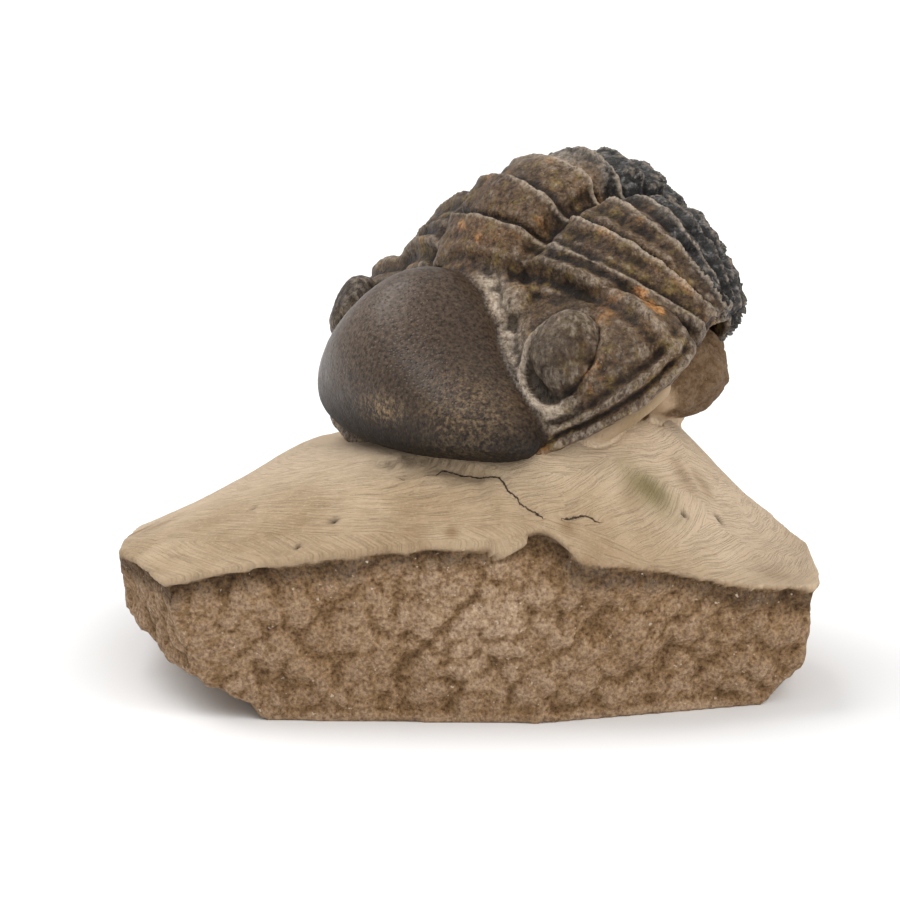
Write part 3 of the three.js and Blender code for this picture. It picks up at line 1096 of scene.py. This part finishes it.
# %% Node helpers
def feed(tree, node, inputs):
    """Links each input to the output it is given, or sets it to the value it is given."""
    for name, value in inputs.items():
        if hasattr(value, "is_output"):
            tree.links.new(value, node.inputs[name])
        else:
            node.inputs[name].default_value = value


def add_node(tree, kind, inputs, **settings):
    node = tree.nodes.new("ShaderNode" + kind)
    for key, value in settings.items():
        setattr(node, key, value)
    feed(tree, node, inputs)
    return node


def attribute(tree, name, output="Fac"):
    return add_node(tree, "Attribute", {}, attribute_name=name).outputs[output]


def maths(tree, kind, first, second=None, third=None, clamp=False):
    given = {place: value for place, value in enumerate((first, second, third)) if value is not None}
    return add_node(tree, "Math", given, operation=kind, use_clamp=clamp).outputs[0]


def times(tree, first, second):
    return maths(tree, "MULTIPLY", first, second)


def times_plus(tree, first, second, more, clamp=False):
    return maths(tree, "MULTIPLY_ADD", first, second, more, clamp)


def blend_colour(tree, amount, first, second, kind="MIX"):
    given = {0: amount, 6: first, 7: second}
    return add_node(tree, "Mix", given, data_type="RGBA", blend_type=kind).outputs[2]


def tint(tree, colour, other, mask, strength):
    """Blends a colour towards another where a mask says, up to a strength."""
    return blend_colour(tree, times(tree, mask, strength), colour, other)


def remap(tree, value, low, high, new_low=0.0, new_high=1.0):
    given = {"Value": value, "From Min": low, "From Max": high, "To Min": new_low, "To Max": new_high}
    return add_node(tree, "MapRange", given).outputs["Result"]


def noise(tree, place, size, detail=4.0, roughness=0.55, distortion=0.0):
    """A noise whose blotches are about size millimetres across."""
    given = {"Vector": place, "Scale": 1 / (size * MM), "Detail": detail}
    given.update({"Roughness": roughness, "Distortion": distortion})
    return add_node(tree, "TexNoise", given).outputs["Fac"]


def new_group(name, inputs, outputs):
    group = bpy.data.node_groups.new(name, "ShaderNodeTree")
    for label, kind, value in inputs:
        socket = group.interface.new_socket(label, in_out="INPUT", socket_type="NodeSocket" + kind)
        if value is not None:
            socket.default_value = value
    for label, kind in outputs:
        group.interface.new_socket(label, in_out="OUTPUT", socket_type="NodeSocket" + kind)
    return group, group.nodes.new("NodeGroupInput"), group.nodes.new("NodeGroupOutput")


# %% The mottle group
BLOTCHES = [
    # mask, size in mm, and the noise values that turn into 0 and 1
    ("Broad", 14, 0.36, 0.64),
    ("Small", 2.6, 0.35, 0.65),
    ("Grain", 0.55, 0.32, 0.68),
]


def mineral_mottle():
    """Three masks of blotches: broad patches, small spots and crystal grains."""
    group, inside, outside = new_group(
        "mineral_mottle",
        [("Place", "Vector", None), ("Contrast", "Float", 1.0)],
        [("Broad", "Float"), ("Small", "Float"), ("Grain", "Float")],
    )
    place = inside.outputs["Place"]
    for label, size, low, high in BLOTCHES:
        soft = remap(group, noise(group, place, size, detail=5, roughness=0.6), low, high)
        centred = maths(group, "SUBTRACT", soft, 0.5)
        scaled = times_plus(group, centred, inside.outputs["Contrast"], 0.5, clamp=True)
        feed(group, outside, {label: scaled})
    return group


# %% The painted shade and highlight group
def hollow_shade_and_crest_highlight():
    """Paints shade that darkens the hollows, and paints highlights that brighten the crests."""
    group, inside, outside = new_group(
        "hollow_shade_and_crest_highlight",
        [
            ("Colour", "Color", (0.5, 0.5, 0.5, 1)),
            ("Hollow", "Float", 0.0),
            ("Depth", "Float", 0.5),
            ("Lift", "Float", 0.3),
        ],
        [("Colour", "Color")],
    )
    hollow = inside.outputs["Hollow"]
    deep = times(group, remap(group, hollow, 0.0, 0.8), inside.outputs["Depth"])
    high = times(group, remap(group, hollow, 0.0, -0.8), inside.outputs["Lift"])
    darker = blend_colour(group, deep, inside.outputs["Colour"], (0.1, 0.08, 0.06, 1), "MULTIPLY")
    brighter = blend_colour(group, high, darker, (0.55, 0.5, 0.44, 1), "ADD")
    feed(group, outside, {"Colour": brighter})
    return group


# %% The grain bump group
PIT_SPACING = 0.55


def grain_height():
    """A height made of crystal grains and of fine scattered pits, for a bump."""
    group, inside, outside = new_group(
        "grain_height",
        [("Place", "Vector", None), ("Grains", "Float", 1.0), ("Pits", "Float", 1.0)],
        [("Height", "Float")],
    )
    place = inside.outputs["Place"]
    rough_part = noise(group, place, 0.7, detail=6, roughness=0.65)
    cells = add_node(group, "TexVoronoi", {"Vector": place, "Scale": 1 / (PIT_SPACING * MM)})
    pitted = remap(group, cells.outputs["Distance"], 0.0, 0.42)
    total = times(group, rough_part, inside.outputs["Grains"])
    total = times_plus(group, pitted, inside.outputs["Pits"], total)
    feed(group, outside, {"Height": total})
    return group


MOTTLE = mineral_mottle()
HOLLOW_SHADE_AND_HIGHLIGHT = hollow_shade_and_crest_highlight()
GRAIN_HEIGHT = grain_height()


def mottled(tree, place):
    """The broad, small and grain masks of the mottle group."""
    spots = add_node(tree, "Group", {"Place": place}, node_tree=MOTTLE)
    return [spots.outputs[name] for name in ("Broad", "Small", "Grain")]


def painted_hollows_and_crests(tree, colour, depth, lift):
    """Painted shade in the hollows as deep as depth says, and painted highlights on the crests as lift
    says.
    """
    given = {"Colour": colour, "Hollow": attribute(tree, "hollow"), "Depth": depth, "Lift": lift}
    return add_node(tree, "Group", given, node_tree=HOLLOW_SHADE_AND_HIGHLIGHT).outputs["Colour"]


def grained(tree, colour, grain, brightest):
    """Crystal grains as soft light, so that they show on dark stone and on pale stone."""
    greys = blend_colour(tree, grain, (0.02, 0.02, 0.02, 1), (brightest, brightest, brightest, 1))
    return blend_colour(tree, 0.8, colour, greys, "SOFT_LIGHT")


def grain_bump(tree, place, smoothness, least, pits):
    """The height of the grains, which fall to the least value where the stone is smooth."""
    given = {"Place": place, "Grains": remap(tree, smoothness, 0, 1, 1.0, least), "Pits": pits}
    return add_node(tree, "Group", given, node_tree=GRAIN_HEIGHT).outputs["Height"]


def new_material(name):
    material = bpy.data.materials.new(name)
    material.use_nodes = True
    tree = material.node_tree
    return material, tree, tree.nodes["Principled BSDF"]


def object_place(tree):
    return add_node(tree, "TexCoord", {}).outputs["Object"]


def finish(tree, shader, colour, roughness, shine, height):
    """Feeds the shader. The height is a bump of half a millimetre."""
    bump = add_node(tree, "Bump", {"Distance": 0.5 * MM, "Strength": 1.0, "Height": height})
    given = {"Base Color": colour, "Roughness": roughness, "Specular IOR Level": shine}
    feed(tree, shader, given)
    feed(tree, shader, {"Normal": bump.outputs["Normal"]})


# %% [markdown]
# ## The fossil's finish
# The fossil is calcite, chocolate brown to nearly black, with rust where iron came through and grey
# dust in the deepest furrows, and with painted shade in its hollows and painted highlights on its
# crests. The glabella was polished by handling, so it is smooth with pinprick pits; a painted sheen
# lightens it in front and painted shade darkens it low down.

# %% Fossil calcite
BROWN = (0.130, 0.076, 0.037, 1)
UMBER = (0.026, 0.015, 0.009, 1)
NEAR_BLACK = (0.022, 0.021, 0.020, 1)
COLD_GREY = (0.33, 0.32, 0.31, 1)
RUST = (0.30, 0.13, 0.035, 1)
ORANGE = (0.46, 0.21, 0.065, 1)
OLIVE = (0.16, 0.105, 0.030, 1)
GREY_DUST_AND_HIGHLIGHT = (0.42, 0.335, 0.25, 1)
FURROW_DUST_AND_SHEEN = (0.47, 0.38, 0.29, 1)
EGG_BROWN = (0.050, 0.031, 0.019, 1)
EGG_DARK = (0.019, 0.012, 0.008, 1)
EGG_SHADE = (0.006, 0.004, 0.003, 1)
EGG_SHEEN = (0.105, 0.073, 0.052, 1)
GOLD_BROWN = (0.27, 0.185, 0.095, 1)


def calcite_colour(tree, place, broad, small, grain):
    """Brown and umber stone with rust, cold grey streaks where it is dark that are partly dust and partly
    painted glints, and orange iron stains.
    """
    dark = attribute(tree, "dark")
    colour = blend_colour(tree, broad, UMBER, BROWN)
    colour = blend_colour(tree, remap(tree, small, 0.55, 1.0, 0, 0.8), colour, OLIVE)
    rusty = remap(tree, noise(tree, place, 7, 3), 0.60, 0.70)
    colour = tint(tree, colour, RUST, times(tree, rusty, remap(tree, small, 0.2, 0.7)), 0.75)
    # the rear rings turn nearly black
    colour = blend_colour(tree, dark, colour, NEAR_BLACK)
    # cold grey streaks on the dark rings: dust streaks and painted glints
    grey_streak_and_glint = remap(tree, noise(tree, place, 1.8, 5, 0.7, 0.6), 0.52, 0.72)
    colour = tint(tree, colour, COLD_GREY, times(tree, grey_streak_and_glint, dark), 0.6)
    stained = times(tree, attribute(tree, "iron_stain"), remap(tree, grain, 0.1, 0.5, 0.5, 0.95))
    return blend_colour(tree, stained, colour, ORANGE)


def egg_colour(tree, place, small):
    """The polished glabella: even brown, with a painted sheen paler in front, painted shade darker low
    down, and gold flecks.
    """
    colour = blend_colour(tree, small, EGG_DARK, EGG_BROWN)
    colour = blend_colour(tree, 0.55, colour, EGG_BROWN)
    # a painted sheen lightens the front and painted shade darkens the lower part
    colour = tint(tree, colour, EGG_SHEEN, attribute(tree, "painted_sheen"), 0.8)
    colour = tint(tree, colour, EGG_SHADE, attribute(tree, "low"), 0.9)
    flecks = remap(tree, noise(tree, place, 0.8, 4, 0.7), 0.44, 0.58)
    return tint(tree, colour, GOLD_BROWN, times(tree, flecks, attribute(tree, "golden")), 0.85)


def dust_streaks(tree, place):
    """A noise drawn out along the height."""
    drawn_out = add_node(tree, "Mapping", {"Vector": place, "Scale": (1, 1, 0.5)})
    return noise(tree, drawn_out.outputs["Vector"], 0.8, 6, 0.7, 0.4)


def dusted_and_highlighted(tree, place, colour, broad, grain):
    """Pale dust in furrows and in specks, a painted sheen on the summit, pale dust and painted highlights
    on the crests, and soot on the eyes and the cheeks.
    """
    streaks = dust_streaks(tree, place)
    # pale dust in the furrows, with painted highlights and sheen on the ring edges and the summit
    dust_and_sheen = times(tree, attribute(tree, "pale_dust_and_sheen"), remap(tree, streaks, 0.28, 0.52))
    colour = grained(tree, tint(tree, colour, FURROW_DUST_AND_SHEEN, dust_and_sheen, 0.9), grain, 1)
    specks = remap(tree, noise(tree, place, 0.45, 3, 0.7), 0.60, 0.68)
    specks = times(tree, specks, remap(tree, broad, 0.3, 0.9, 0.2, 1))
    specks = times(tree, specks, remap(tree, attribute(tree, "egg"), 0, 1, 0.6, 0.12))
    colour = blend_colour(tree, specks, colour, GREY_DUST_AND_HIGHLIGHT)
    colour = tint(tree, colour, UMBER, attribute(tree, "sooty"), 0.7)
    # pale dust and painted highlights on the crests
    crest = remap(tree, attribute(tree, "hollow"), -0.15, -0.8)
    crest = times(tree, crest, remap(tree, streaks, 0.44, 0.62))
    return tint(tree, colour, GREY_DUST_AND_HIGHLIGHT, crest, 0.6)


def fossil_calcite():
    material, tree, shader = new_material("fossil_calcite")
    place = object_place(tree)
    broad, small, grain = mottled(tree, place)
    polished = attribute(tree, "egg")
    stone = calcite_colour(tree, place, broad, small, grain)
    colour = blend_colour(tree, polished, stone, egg_colour(tree, place, small))
    # painted shade in the fossil's hollows and painted highlights on its crests
    colour = painted_hollows_and_crests(tree, dusted_and_highlighted(tree, place, colour, broad, grain), 0.92, 0.03)
    gloss = remap(tree, polished, 0, 1, 0.50, 0.38)
    gloss = times_plus(tree, maths(tree, "SUBTRACT", small, 0.5), 0.12, gloss)
    gloss = times_plus(tree, attribute(tree, "low"), 0.3, gloss)
    finish(tree, shader, colour, gloss, 0.28, grain_bump(tree, place, polished, 0.05, 0.15))
    return material


# %% [markdown]
# ## The limestone's finish
# The carved top is cream stone crossed by the fine arcs of the grinding tool, brightened to the left
# by painted light. The broken faces are brown and granular, with painted highlights on their lumps
# and painted shade in their hollows, darkest just under the edge where water stood.

# %% Limestone
CREAM = (0.34, 0.238, 0.138, 1)
PALE_CREAM = (0.48, 0.360, 0.235, 1)
BRIGHT_CREAM = (0.62, 0.485, 0.345, 1)
SCRATCH_BROWN = (0.20, 0.130, 0.072, 1)
BROKEN_BROWN = (0.200, 0.112, 0.048, 1)
BROKEN_LIGHT = (0.40, 0.275, 0.175, 1)
BAND_BROWN = (0.098, 0.055, 0.025, 1)
PLUG_BROWN = (0.085, 0.050, 0.026, 1)
CRACK_AND_SHADOW_DARK = (0.03, 0.02, 0.013, 1)
STAIN_BROWN = (0.20, 0.115, 0.05, 1)
OLIVE_STONE = (0.22, 0.175, 0.085, 1)
BLOOM = (0.6, 0.5, 0.38, 1)
PALE_FLECK = (0.62, 0.52, 0.40, 1)


def tool_arcs(tree):
    """Dark hair-fine arcs left by the grinding tool, turned a different way in each patch."""
    path = attribute(tree, "tool_place", "Vector")
    warp = add_node(tree, "TexNoise", {"Vector": path, "Scale": 0.12}).outputs["Color"]
    given = {0: warp, 1: (1.6, 2.2, 0), 2: path}
    bent = add_node(tree, "VectorMath", given, operation="MULTIPLY_ADD").outputs[0]
    patch = add_node(tree, "TexVoronoi", {"Vector": bent, "Scale": 0.07}).outputs["Color"]
    number = add_node(tree, "SeparateColor", {"Color": patch}).outputs["Red"]
    given = {"Vector": bent, "Angle": times_plus(tree, number, 1.1, -0.55)}
    turned = add_node(tree, "VectorRotate", given, rotation_type="Z_AXIS").outputs[0]
    stretched = add_node(tree, "Mapping", {"Vector": turned, "Scale": (0.18, 9.0, 0.0)})
    given = {"Vector": stretched.outputs["Vector"], "Scale": 1.0, "Detail": 3, "Roughness": 0.6}
    return add_node(tree, "TexNoise", given).outputs["Fac"]


def carved_colour(tree, place, broad, scratch):
    """Cream stone, brightened to the left by painted light, with patches of scratches, bloom and stains."""
    colour = blend_colour(tree, broad, CREAM, PALE_CREAM)
    # painted light on the carved top
    colour = tint(tree, colour, BRIGHT_CREAM, attribute(tree, "sunny"), 0.65)
    patchy = remap(tree, noise(tree, place, 5, 4, 0.6), 0.35, 0.65, 0.3, 1.0)
    colour = tint(tree, colour, SCRATCH_BROWN, times(tree, scratch, 0.24), patchy)
    bloom = remap(tree, noise(tree, place, 0.6, 4, 0.7), 0.5, 0.7)
    colour = tint(tree, colour, BLOOM, bloom, 0.3)
    colour = blend_colour(tree, attribute(tree, "olive_patch"), colour, OLIVE_STONE)
    return blend_colour(tree, attribute(tree, "rust_stain"), colour, STAIN_BROWN)


def broken_colour(tree, place, broad, small, grain):
    """Brown granular stone, with painted highlights on its lumps, painted shade in its hollows and paler
    lumps in the middle, dark in the weathered band and on the plug.
    """
    # painted light: raised lumps lighter and hollows darker, mixed with the mottle
    raised = remap(tree, attribute(tree, "hollow"), 0.5, -0.5)
    tone_and_painted_light = times_plus(tree, small, 0.25, times(tree, raised, 0.65))
    tone_and_painted_light = times(tree, tone_and_painted_light, remap(tree, broad, 0, 1, 0.30, 0.75))
    lumps_lit = times(tree, raised, 0.5)
    tone_and_painted_light = times_plus(tree, attribute(tree, "pale_lumps"), lumps_lit, tone_and_painted_light, clamp=True)
    colour = blend_colour(tree, tone_and_painted_light, BROKEN_BROWN, BROKEN_LIGHT)
    colour = tint(tree, colour, BAND_BROWN, attribute(tree, "weathered_band"), 0.95)
    colour = grained(tree, colour, grain, 0.98)
    flecks = remap(tree, noise(tree, place, 0.9, 2), 0.70, 0.74)
    # painted shade in the hollows of the broken faces and painted highlights on their crests
    colour = painted_hollows_and_crests(tree, tint(tree, colour, PALE_FLECK, flecks, 0.7), 0.36, 0.06)
    return tint(tree, colour, PLUG_BROWN, attribute(tree, "weathered_plug"), 0.7)


def crack_mask(tree, place):
    """Thin ragged lines along the cracks, the pits, and the painted shadow line along the ledge."""
    ragged = times_plus(tree, noise(tree, place, 0.5, 3), 0.4, -0.2)
    off_line = maths(tree, "ABSOLUTE", maths(tree, "ADD", attribute(tree, "crack_gap"), ragged))
    nearby = remap(tree, attribute(tree, "crack_near"), 0.3, 0.7)
    crack = times(tree, remap(tree, off_line, 0.20, 0.05), nearby)
    return maths(tree, "MAXIMUM", crack, attribute(tree, "pit"))


def limestone():
    material, tree, shader = new_material("limestone")
    place = object_place(tree)
    broad, small, grain = mottled(tree, place)
    carved = attribute(tree, "carved")
    scratch = times(tree, remap(tree, tool_arcs(tree), 0.53, 0.64), attribute(tree, "tooled"))
    broken = broken_colour(tree, place, broad, small, grain)
    colour = blend_colour(tree, carved, broken, carved_colour(tree, place, broad, scratch))
    colour = blend_colour(tree, crack_mask(tree, place), colour, CRACK_AND_SHADOW_DARK)
    roughness = remap(tree, small, 0, 1, 0.82, 0.95)
    height = grain_bump(tree, place, carved, 0.25, 0.12)
    height = times_plus(tree, times(tree, scratch, carved), -0.12, height)
    finish(tree, shader, colour, roughness, 0.3, height)
    return material


def dress(piece, material):
    piece.data.materials.clear()
    piece.data.materials.append(material)


dress(trilobite, fossil_calcite())
dress(block, limestone())

# %% [markdown]
# ## Studio light
# A plain pale floor, a large soft light from the upper left and a dim fill from the right give the soft
# grey shadow of a product table.

# %% Floor and lights
def add_floor():
    deselect_all()
    bpy.ops.mesh.primitive_plane_add(size=12, location=(0, 2, 0))
    floor = named("studio_floor")
    seat(floor, Matrix.Identity(4))
    material, tree, shader = new_material("pale_floor")
    feed(tree, shader, {"Base Color": (0.9, 0.9, 0.9, 1), "Roughness": 0.9})
    floor.data.materials.append(material)


def add_soft_sun(name, towards, spread, strength, seen_in_gloss):
    """A very wide sun stands for a softbox, and lights the floor evenly as far as it goes."""
    data = bpy.data.lights.new(name, "SUN")
    data.angle = math.radians(spread)
    data.energy = strength
    lamp = bpy.data.objects.new(name, data)
    lamp.rotation_euler = Vector(towards).to_track_quat("Z", "Y").to_euler()
    lamp.visible_glossy = seen_in_gloss
    bpy.context.collection.objects.link(lamp)


def add_sky(brightness):
    world = bpy.data.worlds.new("studio")
    world.use_nodes = True
    bpy.context.scene.world = world
    tree = world.node_tree
    feed(tree, tree.nodes["Background"], {"Color": (1, 1, 1, 1), "Strength": brightness})


add_floor()
add_soft_sun("key", towards=(-0.50, 0.20, 0.85), spread=45, strength=1.7, seen_in_gloss=True)
add_soft_sun("fill", towards=(0.55, -0.60, 0.60), spread=60, strength=1.7, seen_in_gloss=False)
add_sky(brightness=0.65)
bpy.context.scene.view_settings.view_transform = "Standard"

# %% Hand the pieces to the frame
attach(trilobite, "root")
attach(block, "root")
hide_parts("trilobite")
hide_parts("limestone_block")
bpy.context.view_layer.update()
for piece in (trilobite, block):
    print(piece.name, len(piece.data.polygons), "faces")
